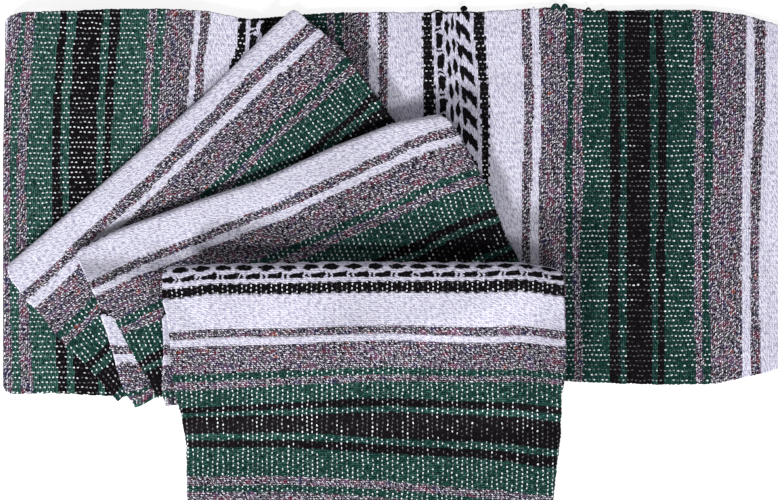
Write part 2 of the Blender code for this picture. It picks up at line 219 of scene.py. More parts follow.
# Soft creases pressed in by folding, for each leaf, in MM: from (u, v), to (u, v), half width
# and how deep. Ridges have a negative depth. U runs along the stripes and v across them.
CREASES = {
    "band": ((0, 702, 409, 716, 13, 1.3), (20, 776, 409, 790, 26, -1.5),
             (150, 640, 409, 628, 20, 1.0), (409, 596, 250, 560, 18, 1.2),
             (0, 836, 300, 822, 12, 1.4), (330, 545, 409, 470, 14, 1.0),
             (60, 660, 240, 672, 30, -0.9), (409, 395, 330, 380, 16, 1.1)),
    "left_leaf": ((411, 150, 250, 132, 20, 1.2), (411, 62, 60, 40, 16, 1.1),
                  (200, 90, 90, 70, 14, 0.9), (411, 240, 330, 226, 13, 1.0)),
    "page_1": ((0, 42, 110, 52, 15, 1.0), (423, 70, 250, 60, 17, 1.3),
               (330, 110, 423, 128, 14, 1.1), (90, 16, 260, 12, 12, -0.8),
               (70, 32, 415, 159, 5, 5.5)),
    "page_2": ((0, 60, 130, 74, 18, 1.2), (421, 92, 260, 84, 16, 1.3),
               (330, 40, 421, 30, 14, 0.9), (80, 20, 300, 16, 15, -0.9),
               (421, 150, 320, 132, 15, 1.1), (114, 48, 360, 139, 7, 5.2)),
    "page_3": ((0, 26, 60, 78, 12, 1.3), (433, 44, 330, 66, 14, 0.9),
               (60, 92, 300, 86, 14, -1.0), (0, 206, 180, 236, 20, 1.4),
               (433, 230, 260, 214, 20, 1.3), (90, 330, 410, 300, 26, -1.6),
               (20, 300, 200, 350, 18, 1.2), (433, 330, 300, 372, 18, 1.3)),
    "under_leaf_2": ((0, 50, 60, 70, 10, 0.8),),
    "under_leaf_3": ((0, 118, 60, 128, 9, 0.7),),
}

# Loops and ends of yarn along the back edge, in MM: from (x, y), to (x, y), how far each bows
# out, its height, its half thickness, and the place of its yarn in the stripe sequence.
LOOSE_YARNS = ((33, 335, 53, 334, 4.6, 8.6, 0.9, 190), (50, 336, 90, 336.5, 0.8, 8.4, 0.7, 190),
               (68.5, 338.5, 73, 338.8, 2.6, 8.0, 3.2, 190), (30, 335, 36, 336, 1.2, 8.3, 0.7, 190),
               (165, 338, 176, 337, 7.0, 7.2, 2.6, 150), (177, 339, 183, 338, 6.0, 7.2, 2.2, 150),
               (202, 337, 209, 337, 4.6, 8.0, 1.2, 190), (218, 337, 225, 337, 3.4, 7.8, 1.0, 190),
               (277, 336, 283, 336, 3.6, 7.8, 1.0, 150), (144, 337, 148, 338, 5.0, 7.6, 1.0, 50),
               (125, 336, 131, 336.5, 3.6, 7.6, 1.0, 100))
YARN_STEPS = 15  # octagons along each


def outstand(name, edge, place):
    """How far an edge stands out at a place along it.

    It is read from the edge's table at five points across twice the ease, and averaged, so the
    outline turns softly.
    """
    rows = np.array(EDGES.get((name, edge), ((0, 0), (1, 0))), dtype=float) * MM
    near = place[..., None] + np.linspace(-EASE, EASE, 5)
    return np.interp(near, rows[:, 0], rows[:, 1]).mean(axis=-1)


def uneven(place, pitch, seed):
    """Random values from -1 to 1 at every pitch along a line, with straight runs between."""
    values = np.random.default_rng(seed).uniform(-1, 1, RANDOM_VALUES)
    return np.interp(place / pitch, np.arange(RANDOM_VALUES) - RANDOM_VALUES // 2, values)


class Leaf:
    """One folded leaf: a rectangle in plan with uneven edges, and its height."""

    def __init__(self, number, row):
        values = dict(zip(LEAF_COLUMNS, row))
        self.name = values["name"]
        self.number = number
        self.corner = np.array((values["corner_x"], values["corner_y"])) * MM
        heading = math.radians(values["heading"])
        self.along = np.array((math.cos(heading), math.sin(heading)))
        self.across = np.array((math.sin(heading), -math.cos(heading)))
        for size in ("length", "depth", "height", "margin", "end_reach", "fold_reach", "gap"):
            setattr(self, size, values[size] * MM)
        self.spread = values["spread"]
        self.far_fold = self.name in FAR_FOLDS

    def plan(self, share, v, inset=0.0):
        """Points in plan at a share of the way along the stripes and at v across them.

        The line at v runs from the start edge to the end edge, both less the inset and rounded
        off at the near fold. The near fold's outline fades away towards the far edge.
        """
        share, v, inset = np.broadcast_arrays(share, v, inset)
        into_corner = np.clip(CORNER - v, 0, CORNER)
        rounding = (CORNER - np.sqrt(CORNER ** 2 - into_corner ** 2)) * CORNER_CUT
        first = -outstand(self.name, "start", v) + rounding + inset
        last = self.length + outstand(self.name, "end", v) - rounding - inset
        u = first + share * (last - first)
        near = outstand(self.name, "near", u)
        far = outstand(self.name, "far", u)
        w = v + (far + near) * v / self.depth - near
        return self.corner + u[..., None] * self.along + w[..., None] * self.across

    def way_down(self, point, shift):
        """How far past the leaf's outline a point is, from 0 to 1 along the slope there."""
        offset = point - self.corner
        u = offset @ self.along
        v = offset @ self.across
        first = -outstand(self.name, "start", v)
        last = self.length + outstand(self.name, "end", v)
        near = -outstand(self.name, "near", u)
        far = self.depth + outstand(self.name, "far", u)
        keep = self.margin + shift
        past_end = np.maximum(np.maximum(first - u, u - last) - keep, 0) / self.end_reach
        past_fold = np.maximum(np.maximum(near - v, v - far) - keep, 0) / self.fold_reach
        return np.hypot(past_end, past_fold)


def fall(travel):
    """One on the leaf, then a smooth slope to nothing: 1 - t^3 (10 - 15 t + 6 t^2)."""
    t = np.clip(travel, 0, 1)
    return 1 - t * t * t * (10 - 15 * t + 6 * t * t)


def draped(leaves_below, point, z):
    """Height of a layer z above its bed: z plus, for each leaf below, its rise times the slope
    there, and a little more halfway down it. The slope lies further out the more cloth is
    between."""
    total = z + np.zeros(point.shape[:-1])
    stack = np.array(total)
    for lower in reversed(leaves_below):
        rise = lower.height + lower.gap
        slope = fall(lower.way_down(point, lower.spread * stack))
        total = total + rise * slope + BED_CLEAR * 4 * slope * (1 - slope)
        stack = stack + rise * fall(lower.way_down(point, 0.0))
    return total


def relief(leaf, plan):
    """How deep a leaf's upper side is pressed in, at points in plan.

    A slow unevenness is the sum of four sine waves. To it each crease adds its depth times a
    bell curve across it, which tapers off at its ends: exp(-(d / w)^2) (1 - s^4). The middle
    of a crease sways in a slow sine wave, by a quarter of its width.
    """
    offset = plan - leaf.corner
    u = offset @ leaf.along
    v = offset @ leaf.across
    waves = np.random.default_rng(40 + leaf.number)
    deep = np.full(u.shape, UNEVEN)
    for pitch in WAVE_PITCHES:
        turn, start = waves.uniform(0, TURN, 2)
        travel = (u * math.cos(turn) + v * math.sin(turn)) / pitch
        deep = deep + UNEVEN / len(WAVE_PITCHES) * np.sin(TURN * travel + start)
    for row in CREASES[leaf.name]:
        u0, v0, u1, v1, width, depth = np.array(row) * MM
        reach = math.hypot(u1 - u0, v1 - v0)
        run = ((u - u0) * (u1 - u0) + (v - v0) * (v1 - v0)) / reach
        aside = ((v - v0) * (u1 - u0) - (u - u0) * (v1 - v0)) / reach
        bend = aside - width * 0.5 * np.sin(run / CREASE_BEND + width / MM)
        along = np.clip(2 * run / reach - 1, -1, 1)
        deep = deep + depth * np.exp(-(bend / width) ** 2) * (1 - along ** 4)
    return deep


def lift(leaf, leaves_below, plan, z):
    """Give points in plan their height. What the relief presses in grows evenly with the height
    above the bed, from nothing there to all of it on top."""
    z = np.broadcast_to(z, plan.shape[:-1])
    pressed = z - relief(leaf, plan) * (z / leaf.height)
    return np.concatenate([plan, draped(leaves_below, plan, pressed)[..., None]], axis=-1)


def spaced(start, stop, pitch):
    """Even places from start to stop, about a pitch apart."""
    return np.linspace(start, stop, max(round((stop - start) / pitch), 1) + 1)


def wall_section(leaf, inward):
    """Section of the outer cloth across the stripes, as places v and heights z.

    It runs from under the near fold, round a half circle there and over the top, and round
    another half circle where there is a far fold. Inward moves the line towards the plies.
    """
    nose = leaf.height / 2
    radius = nose - inward
    turn = np.linspace(-math.pi / 2, math.pi / 2, NOSE_TURNS + 1)
    stop = leaf.depth - (nose if leaf.far_fold else 0)
    under = spaced(nose, TUCK, ACROSS)[:0:-1]
    top = spaced(nose, stop, ACROSS)[1:]
    v = [under, nose - radius * np.cos(turn), top]
    z = [np.full(len(under), inward), nose + radius * np.sin(turn),
         np.full(len(top), leaf.height - inward)]
    if leaf.far_fold:
        v += [leaf.depth - nose + radius * np.cos(turn[-2::-1]), leaf.depth - under[::-1]]
        z += [nose + radius * np.sin(turn[-2::-1]), np.full(len(under), inward)]
    return np.concatenate(v), np.concatenate(z)


def columns(leaf):
    """Shares along the stripes: close together at both ends, then even."""
    ends = np.array(END_COLUMNS) * MM / leaf.length
    middle = spaced(ends[-1], 1 - ends[-1], ALONG / leaf.length)[1:-1]
    return np.concatenate([ends, middle, 1 - ends[::-1]])[:, None]


def border(grid):
    """The edge points of a grid as one closed loop."""
    return np.concatenate([grid[:-1, 0], grid[-1, :-1], grid[:0:-1, -1], grid[0, :0:-1]])


def closed_body(upper, rims, lower):
    """Vertices and quads of a body between an upper and a lower grid, with rims between."""
    rows, cols = upper.shape[:2]
    count = rows * cols
    number = np.arange(count).reshape(rows, cols, 1)
    corner = number[..., 0]
    cells = np.stack([corner[:-1, :-1], corner[1:, :-1], corner[1:, 1:], corner[:-1, 1:]], -1)
    cells = cells.reshape(-1, 4)
    around = len(border(number))
    loops = [border(number).ravel()]
    loops += [2 * count + step * around + np.arange(around) for step in range(len(rims))]
    loops.append(loops[0] + count)
    faces = [cells, (cells + count)[:, ::-1]]
    for above, below in zip(loops[:-1], loops[1:]):
        faces.append(np.stack([above, below, np.roll(below, -1), np.roll(above, -1)], 1))
    points = np.concatenate([upper.reshape(-1, upper.shape[-1]),
                             lower.reshape(-1, lower.shape[-1]), *rims])
    return points, np.concatenate(faces)


def loose_yarns():
    """Vertices and quads of the loops and ends of yarn along the back edge.

    Each runs in a straight line from one place to the other, bowed out by half a sine wave. An
    octagon is carried along it, which shrinks towards both ends as sqrt(1 - 0.96 (2 t - 1)^4).
    """
    rows = (np.array(LOOSE_YARNS) * MM).T[:, :, None, None]
    x0, y0, x1, y1, bow, z, radius, place = rows
    t = np.linspace(0, 1, YARN_STEPS)[:, None]
    turn = np.linspace(0, TURN, 8, endpoint=False)
    heading = np.arctan2(y1 - y0 + math.pi * bow * np.cos(math.pi * t), x1 - x0)
    size = radius * np.sqrt(1 - 0.96 * (2 * t - 1) ** 4)
    aside = size * np.cos(turn)
    x = x0 + (x1 - x0) * t - np.sin(heading) * aside
    y = y0 + (y1 - y0) * t + bow * np.sin(math.pi * t) + np.cos(heading) * aside
    values = (x, y, z + size * np.sin(turn), np.hypot(x1 - x0, y1 - y0) * t, 0.0, place)
    points = np.stack(np.broadcast_arrays(*values), axis=-1)
    number = np.arange(points[..., 0].size).reshape(points.shape[:-1])
    after = np.roll(number, -1, axis=2)
    sides = np.stack([number[:, :-1], after[:, :-1], after[:, 1:], number[:, 1:]], axis=-1)
    cap = np.array(((0, 1, 2, 3), (0, 3, 4, 7), (4, 5, 6, 7)))
    caps = [number[:, 0][:, cap[:, ::-1]], number[:, -1][:, cap]]
    faces = np.concatenate([part.reshape(-1, 4) for part in (sides, *caps)])
    return points.reshape(-1, 6), faces


def stripe_place(leaf, u, v):
    """Place in the stripe sequence: the sum, over the stripes, of each one's width times how
    far across it the point is, from 0 to 1."""
    marks, *rows = STRIPE_PLACES[leaf.name]
    marks = np.array(marks) * MM
    table = np.array(rows) * MM
    knots = [np.interp(u, table[:, 0], column) for column in table.T[1:]]
    side = math.copysign(1.0, marks[-1] - marks[0])
    place = marks[0] + side * (np.minimum(v - knots[0], 0) + np.maximum(v - knots[-1], 0))
    for width, low, high in zip(np.diff(marks), knots[:-1], knots[1:]):
        place = place + width * np.clip((v - low) / (high - low), 0, 1)
    return place


def over_cloth(leaf, leaves_below, share, v, z):
    """Place across the stripes of each point of a section: v on the top, from where it goes on
    round the folds with the running length of the section."""
    plan = leaf.plan(share, v)
    grid = lift(leaf, leaves_below, plan, z)
    steps = np.linalg.norm(np.diff(grid, axis=1), axis=-1)
    run = np.concatenate([np.zeros((len(grid), 1)), np.cumsum(steps, axis=1)], axis=1)
    on_top = np.flatnonzero((z >= z.max() - ROUNDING_ERROR)
                            & (v >= leaf.height / 2 - ROUNDING_ERROR))
    first, last = on_top[0], on_top[-1]
    across = v[None, :] + np.zeros(run.shape)
    across[:, :first] = run[:, :first] - run[:, first:first + 1] + v[first]
    across[:, last:] = run[:, last:] - run[:, last:last + 1] + v[last]
    return across


def with_places(leaf, grid, plan, across, beyond=0.0):
    """Add to each point its places along and across the stripes, and in their sequence. Beyond
    is how far it lies past the end of the stripes, down over the edge."""
    u = (plan - leaf.corner) @ leaf.along
    place = stripe_place(leaf, u, across)
    along = u + beyond
    return np.concatenate([grid, along[..., None], across[..., None], place[..., None]], axis=-1)


def woven_edge(leaf, v, side):
    """How far the turns of the weft stand out at an end of the stripes, at place v.

    They are half sine waves, |sin(pi v / length)|, shifted slowly, and uneven on top.
    """
    seed = 100 * leaf.number + side
    turns = np.abs(np.sin(math.pi * v / TURN_LENGTH + 1.3 * uneven(v, SLOW, seed)))
    return (0.9 * turns + 0.6 * uneven(v, QUICK, seed + 7) - 0.5) * MM


def cloth_shell(leaf, leaves_below):
    """The outer cloth as a closed shell: the section carried along the stripes, one grid for
    its outside, one for its inside, and a rim between them that stands out at half thickness."""
    share = columns(leaf)
    across = over_cloth(leaf, leaves_below, share, *wall_section(leaf, CLOTH / 2))
    layers = []
    for inward, inset in ((0.0, RIM_INSET), (CLOTH / 2, 0.0), (CLOTH, RIM_INSET)):
        v, z = wall_section(leaf, inward)
        turns = np.where(share < 0.5, woven_edge(leaf, v, 1), woven_edge(leaf, v, 2))
        at_end = np.clip(1 - np.minimum(share, 1 - share) * leaf.length / TURN_FADE, 0, 1)
        plan = leaf.plan(share, v, inset - turns * at_end)
        grid = lift(leaf, leaves_below, plan, z)
        layers.append(with_places(leaf, grid, plan, across))
    return closed_body(layers[0], [border(layers[1])], layers[2])


def ply_layers(leaf, leaves_below, cover):
    """The hidden plies as one body: a grid over them and one under, and a rim between.

    The rim bulges in a half circle at the edge of each ply, sqrt(1 - (2 t - 1)^2), and every
    ply lies back by its own uneven amount. At the folds the whole rim also follows one half
    circle. The stripes of each ply slip a little.
    """
    nose = leaf.height / 2
    stop = leaf.depth - (nose if leaf.far_fold else 2 * END_INSET)
    v = spaced(nose, stop, ACROSS)
    share = np.linspace(0, 1, COVERED_COLUMNS)[:, None] if cover else columns(leaf)
    back_in = END_INSET if cover else OPEN_INSET
    near_out = nose - cover - NOSE_CLEAR
    far_out = leaf.depth - (cover + NOSE_CLEAR if leaf.far_fold else back_in) - stop
    over_tuck = cover + TUCK_CLEAR if cover else 0.0
    bed = over_tuck * np.clip((TUCK + STEP - v) / (STEP - 2 * GAP), 0, 1)
    if leaf.far_fold:
        bed = np.maximum(bed, over_tuck * np.clip((v - leaf.depth + TUCK + STEP)
                                                  / (STEP - 2 * GAP), 0, 1))
    top = np.full(len(v), leaf.height - cover)
    across = over_cloth(leaf, leaves_below, share, v, top)
    middle = leaf.plan(share, v, back_in)
    upper, lower = (with_places(leaf, lift(leaf, leaves_below, middle, z), middle, across)
                    for z in (top, bed))

    ring = border(np.stack(np.broadcast_arrays(share, v, bed, across), -1))
    ring_share, ring_v, ring_bed, ring_across = ring.T
    at_near = ring_v == v[0]
    at_far = ring_v == v[-1]
    at_end = (ring_share == 0) | (ring_share == 1)
    plies = max(round((leaf.height - cover - over_tuck) / PLY), 2)
    rims = []
    for step in range(1, plies * PLY_TURNS):
        up = 1 - step / (plies * PLY_TURNS)
        ply, part = divmod(step, PLY_TURNS)
        bulge = math.sqrt(1 - (2 * part / PLY_TURNS - 1) ** 2)
        seed = 1000 * leaf.number + 10 * ply
        back = (1.1 * uneven(ring_v, PLY_SLOW, seed) + 0.4 * uneven(ring_v, QUICK, seed + 3)
                - 0.5) * MM
        stand_out = bulge * (PLY_BULGE + back)
        round_out = math.sqrt(1 - (2 * up - 1) ** 2)
        place = ring_v + (at_far * far_out - at_near * near_out) * round_out
        plan = leaf.plan(ring_share, place, back_in - at_end * stand_out)
        z = ring_bed + up * (leaf.height - cover - ring_bed)
        slip = PLY_SLIP * uneven(np.full(ring_v.shape, ply * 1.0), 1.0, leaf.number)
        down = leaf.height - cover - z
        rims.append(with_places(leaf, lift(leaf, leaves_below, plan, z), plan,
                                ring_across + slip + (at_far * 1.0 - at_near) * down,
                                at_end * down))
    return closed_body(upper, rims, lower)


def add_piece(name, body, finish):
    """Put a body into a mesh. One UV map holds its places along and across the cloth, and a
    second one its place in the stripe sequence."""
    points, faces = body
    mesh = bpy.data.meshes.new(name)
    mesh.from_pydata(points[:, :3].tolist(), [], faces.tolist())
    for map_name, columns_used in (("woven", (3, 4)), ("sequence", (5, 4))):
        places = mesh.uv_layers.new(name=map_name)
        places.data.foreach_set("uv", points[faces.ravel()][:, columns_used].ravel())
    mesh.polygons.foreach_set("use_smooth", np.ones(len(faces), dtype=bool))
    mesh.materials.append(finish)
    piece = bpy.data.objects.new(name, mesh)
    scene.collection.objects.link(piece)
    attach(piece, BODY)
    return piece


def operator(operation, swapped=False):
    """A method of Value that adds a Math node of one operation."""
    def method(self, *others):
        values = (*others, self) if swapped else (self, *others)
        return self.finish.node("ShaderNodeMath", {"operation": operation},
                                dict(enumerate(values)))
    return method


class Value:
    """A number that varies over a surface. Arithmetic on it adds Math nodes."""

    def __init__(self, finish, socket):
        self.finish = finish
        self.socket = socket

    def output(self, number):
        """Another output of the node that this value comes from."""
        return Value(self.finish, self.socket.node.outputs[number])

    __add__ = __radd__ = operator("ADD")
    __sub__ = operator("SUBTRACT")
    __rsub__ = operator("SUBTRACT", swapped=True)
    __mul__ = __rmul__ = operator("MULTIPLY")
    __truediv__ = operator("DIVIDE")
    __abs__ = operator("ABSOLUTE")
    whole = operator("ROUND")
    cosine = operator("COSINE")
    most = operator("MAXIMUM")
    to_and_fro = operator("PINGPONG")   # up to a reach, back to nothing, and so on


class Finish:
    """A procedural material, built from nodes given by their type, settings and sockets."""

    def __init__(self, name, roughness):
        self.material = bpy.data.materials.new(name)
        self.material.use_nodes = True
        self.tree = self.material.node_tree
        self.shader = self.tree.nodes["Principled BSDF"]
        self.shader.inputs["Roughness"].default_value = roughness
        self.shader.inputs["Specular IOR Level"].default_value = 0.08

    def node(self, kind, settings, values, output=0):
        """Add a node: its settings first, then a value or a link for each socket."""
        made = self.tree.nodes.new(kind)
        for key, value in settings.items():
            if key == "stops":
                self.fill_ramp(made.color_ramp, value)
            else:
                setattr(made, key, value)
        for socket, value in values.items():
            self.feed(made.inputs[socket], value)
        return Value(self, made.outputs[output])

    def feed(self, socket, value):
        """Link a value to a socket, or set it."""
        if isinstance(value, Value):
            self.tree.links.new(value.socket, socket)
        else:
            socket.default_value = value

    def fill_ramp(self, ramp, stops):
        """Give a new ramp hard steps, the first of them at its start."""
        ramp.interpolation = "CONSTANT"
        ramp.elements.remove(ramp.elements[1])
        ramp.elements[0].color = (*stops[0][1], 1)
        for place, colour in stops[1:]:
            ramp.elements.new(place).color = (*colour, 1)

    def places(self, map_name):
        """The two places of a UV map, in metres."""
        here = self.node("ShaderNodeUVMap", {"uv_map": map_name}, {})
        split = self.node("ShaderNodeSeparateXYZ", {}, {0: here})
        return split, split.output(1)

    def point(self, x, y, z):
        return self.node("ShaderNodeCombineXYZ", {}, {0: x, 1: y, 2: z})

    def noise(self, x, y, layer, detail):
        """Smooth noise from about 0.2 to 0.8, one bump per unit. Each layer is another."""
        return self.node("ShaderNodeTexNoise", {}, {"Vector": self.point(x, y, layer),
                                                    "Scale": 1.0, "Detail": detail})

    def bumps(self, kind, x, y, further=0):
        """Smooth noise of a kind in BUMPS, at a place in metres."""
        length, width, layer, detail = BUMPS[kind]
        return self.noise(x / (length * MM), y / (width * MM), layer + further, detail)

    def chance(self, x, y, layer):
        """A random value from 0 to 1 for each whole-numbered point."""
        return self.node("ShaderNodeTexWhiteNoise", {}, {"Vector": self.point(x, y, layer)})

    def rise(self, value, low, high):
        """A soft step: 0 where the value is under low, 1 where it is over high."""
        return self.node("ShaderNodeMapRange", {"interpolation_type": "SMOOTHSTEP"},
                         {"Value": value, "From Min": low, "From Max": high})

    def step(self, value, kind):
        """The soft step of a kind in FLOAT_STEPS."""
        low, high = FLOAT_STEPS[kind]
        return self.rise(value, low * MM, high * MM)

    def blend(self, factor, one, other):
        """Mix two colours, each a tuple or a link."""
        pick = {0: factor}
        for number, colour in ((6, one), (7, other)):
            pick[number] = colour if isinstance(colour, Value) else (*colour, 1.0)
        return self.node("ShaderNodeMix", {"data_type": "RGBA"}, pick, output=2)


def linear(red, green, blue):
    """A screen colour, 0 to 255, as linear light."""
    share = np.array((red, green, blue)) / 255
    return tuple(np.where(share <= 0.04045, share / 12.92, ((share + 0.055) / 1.055) ** 2.4))


# Colours of the yarns. Those named for gaps are painted shade in the hollows between the yarns
WHITE = linear(232, 230, 246)
WHITE_MARK = linear(172, 168, 194)
WHITE_GAP_SHADE = linear(150, 147, 172)
WARP_WHITE = linear(238, 242, 248)
GREEN = linear(28, 69, 63)
GREEN_DEEP = linear(13, 42, 40)
GREEN_LIGHT = linear(88, 142, 130)
GREEN_GAP_SHADE = linear(5, 24, 21)
BLACK = linear(18, 14, 18)
BLACK_LIGHT = linear(52, 42, 49)
BLACK_GAP_SHADE = linear(6, 4, 6)
MARL_DARK = linear(17, 12, 20)
MARL_MID = linear(106, 96, 114)
MARL_LIGHT = linear(240, 236, 248)
# Dyed fibres in the marled yarn: colour, how rare, and how strong
FLECKS = ((linear(140, 52, 78), 0.57, 0.55), (linear(46, 52, 104), 0.58, 0.55),
          (linear(204, 96, 62), 0.70, 0.75), (linear(84, 100, 84), 0.60, 0.40),
          (linear(152, 100, 142), 0.58, 0.45))

# Smooth noise in the cloth: the length of a bump along and across the stripes, in MM, its layer
# and its detail
BUMPS = {"drift": (50, 80, 1, 1.0), "sway": (32, 18, 2, 1.0), "wobble": (9, 9, 3, 1.0),
         "patch": (45, 35, 8, 1.0), "mark": (5.2, 1.6, 12, 1.5), "hair": (5.2, 2.3, 20, 1.0),
         "tuft": (4.6, 2.4, 21, 1.0), "fleck": (13, 9, 30, 1.0), "loose": (9, 5, 61, 1.0),
         "loose_across": (5, 6, 62, 1.0), "ragged": (4.0, 1.3, 63, 1.0)}
FLECK_LAYERS = 7  # from one dyed fibre's layer to that of the next

# Noise along each spun yarn: its length in MM, how far apart two yarns lie in it, how far it
# goes across one, its layer and its detail
STRANDS = (2.4, 3.7, 1.1, 5.0, 1.5)
STREAKS = (3.0, 2.3, 1.2, 6.0, 1.0)
SPIN_SLANT = WEFT * 1.5  # how far the strands go along for each yarn across

# Soft steps in that noise: where each begins and ends
WHITE_MARKS = (0.42, 0.64)
GREEN_STRANDS = (0.40, 0.56)
BLACK_STREAKS = (0.55, 0.72)
MARL_HAIRS = (0.475, 0.505)
MARL_TUFTS = (0.563, 0.583)
FLECK_STEP = 0.06
GREEN_PALER, GREEN_STEP = 0.57, 0.11  # start and length of the step to pale streaks
GREEN_OPEN = 0.22  # how much sooner it starts in an open weave

# How far the yarns stray, in spacings, and the stripes, in metres
WARP_DRIFT, WARP_WOBBLE = 0.9, 0.42
WEFT_SWAY, WEFT_WOBBLE, WEFT_BEND = 1.1, 0.36, 0.10
STRIPE_SWAY, STRIPE_WOBBLE = 1.4 * MM, 2.6 * MM

# The white dots, where a warp passes over a weft
DOT_LENGTH = 0.15  # half its length, in spacings of the warps
DOT_FLATTEN = 2.4  # how much the square of its width counts
DOT_EDGE = (0.55, 1.20)
DOT_LUCK = (0.05, 0.50)  # the step from a hidden dot to a full one
DOT_ROWS = 30 * MM  # length of a run of dots that hide together
BARE, BARE_STEP = 0.36, 0.28  # where dots begin to show, on a chance from 0 to 1
BARE_BLACK, BARE_GREEN, BARE_BORDER = 0.31, 0.10, 0.28  # later on black, sooner on the others

# The float pattern in the middle of the patterned stripe
REPEAT = 23.4 * MM  # its repeat along the stripe
BORDER = (25.3 * MM, 35.6 * MM)  # the dotted black borders, either side of the middle
BORDER_SOFT = 0.3 * MM  # half the soft step at their edges
GROUND_END = (BORDER[0] - 1.6 * MM, BORDER[0] - 1.0 * MM)  # step at the end of the white ground
SCALLOP, SCALLOP_DEPTH = 10.6 * MM, 0.7 * MM  # the waves in their edges
LOOSE_ALONG, LOOSE_ACROSS = 8.5 * MM, 4.0 * MM  # how far the floats stray
RAGGED, RAGGED_BARS = 2.6 * MM, 1.6 * MM  # how ragged they are, and the bars on top of that
CENTRE_LENS = (0.0, 9.0 * MM, 2.7 * MM)  # middle across, half length and half width
BESIDE_LENS = (7.0 * MM, 9.6 * MM, 2.9 * MM)
BESIDE_SHIFT = 4.2 * MM  # how far back along the repeat those lie
LENS_EDGE = (0.82, 1.12)
WEDGE_PLACE, WEDGE_INNER = 4.6 * MM, 12.7 * MM  # along the repeat, and inner edge across
WEDGE_TAPER = 0.22  # how far that edge comes in for each length along
BAR_PLACE = 2.0 * MM  # middle of a bar along the repeat
BAR_START, BAR_SLANT = 4.0 * MM, 1.15  # where it begins to slant, and how steeply
BAR_THICK, BAR_GROWTH = 2.3 * MM, 4.1 * MM  # half its thickness, and what that grows by
# Its soft steps, in MM: where each begins and ends
FLOAT_STEPS = {"bar side": (1, 4), "wedge half": (7.4, 8), "dash half": (1.2, 2),
               "dash inner": (13.2, 14.4), "bar grows": (4, 15), "bar inner": (3.8, 5),
               "slit half": (0.3, 1), "slit inner": (12, 13), "outer end": (20.2, 21.2),
               "edge": (-0.6, 0.6)}


def yarn_stops():
    """The stripe sequence as ramp stops: green, black and marled yarn in the three channels."""
    channels = {"green": (1, 0, 0), "black": (0, 1, 0), "marled": (0, 0, 1)}
    stops = []
    start = 0.0
    for yarn, end in STRIPES:
        stops.append((start * MM / HALF_REPEAT, channels.get(yarn, (0, 0, 0))))
        start = end
    return stops


def float_pattern(f, along, across):
    """Where the black floats lie, from 0 to 1. Across is measured from the middle.

    From the middle outward there are a row of lenses, a row of longer ones beside them, and a
    row of wedges with a short dash after each. On one side the wedges give way to slanting
    bars, which grow thicker outward.
    """
    loose = f.bumps("loose", along, across) - 0.5
    loose_across = f.bumps("loose_across", along, across) - 0.5
    ragged = f.bumps("ragged", along, across) - 0.5
    side = abs(across + loose_across * LOOSE_ACROSS)
    leaning = f.step(across, "bar side")
    straight = along + loose * LOOSE_ALONG + ragged * (RAGGED + RAGGED_BARS * leaning)
    slanting = straight + leaning * (side - BAR_START) * BAR_SLANT

    def turn(run, shift):
        """Place along the repeat, from minus to plus half of it."""
        here = (run + shift) / REPEAT
        return (here - here.whole()) * REPEAT

    def lens(here, middle, reach, width):
        """A pointed lens: |along| + across^2 is under one, each as a share of its half size."""
        off = (side - middle) / width
        return 1 - f.rise(abs(here / reach) + off * off, *LENS_EDGE)

    centre = lens(turn(straight, 0.0), *CENTRE_LENS)
    beside = lens(turn(slanting, BESIDE_SHIFT), *BESIDE_LENS)
    here = turn(straight, -WEDGE_PLACE)
    inner = WEDGE_INNER - here * WEDGE_TAPER
    wedge = (1 - f.step(abs(here), "wedge half")) * f.step(side - inner, "edge")
    dash = 1 - f.step(abs(turn(straight, REPEAT / 2 - WEDGE_PLACE)), "dash half")
    outer = wedge.most(dash * f.step(side, "dash inner"))
    thick = BAR_THICK + f.step(side, "bar grows") * BAR_GROWTH
    bar = 1 - f.step(abs(turn(slanting, -BAR_PLACE)) - thick, "edge")
    slit = (1 - f.step(abs(turn(straight, BAR_PLACE)), "slit half")) * f.step(side, "slit inner")
    bar = bar * f.step(side, "bar inner") * (1 - slit)
    outer = (outer * (1 - leaning)).most(bar * leaning) * (1 - f.step(side, "outer end"))
    return centre.most(beside).most(outer)


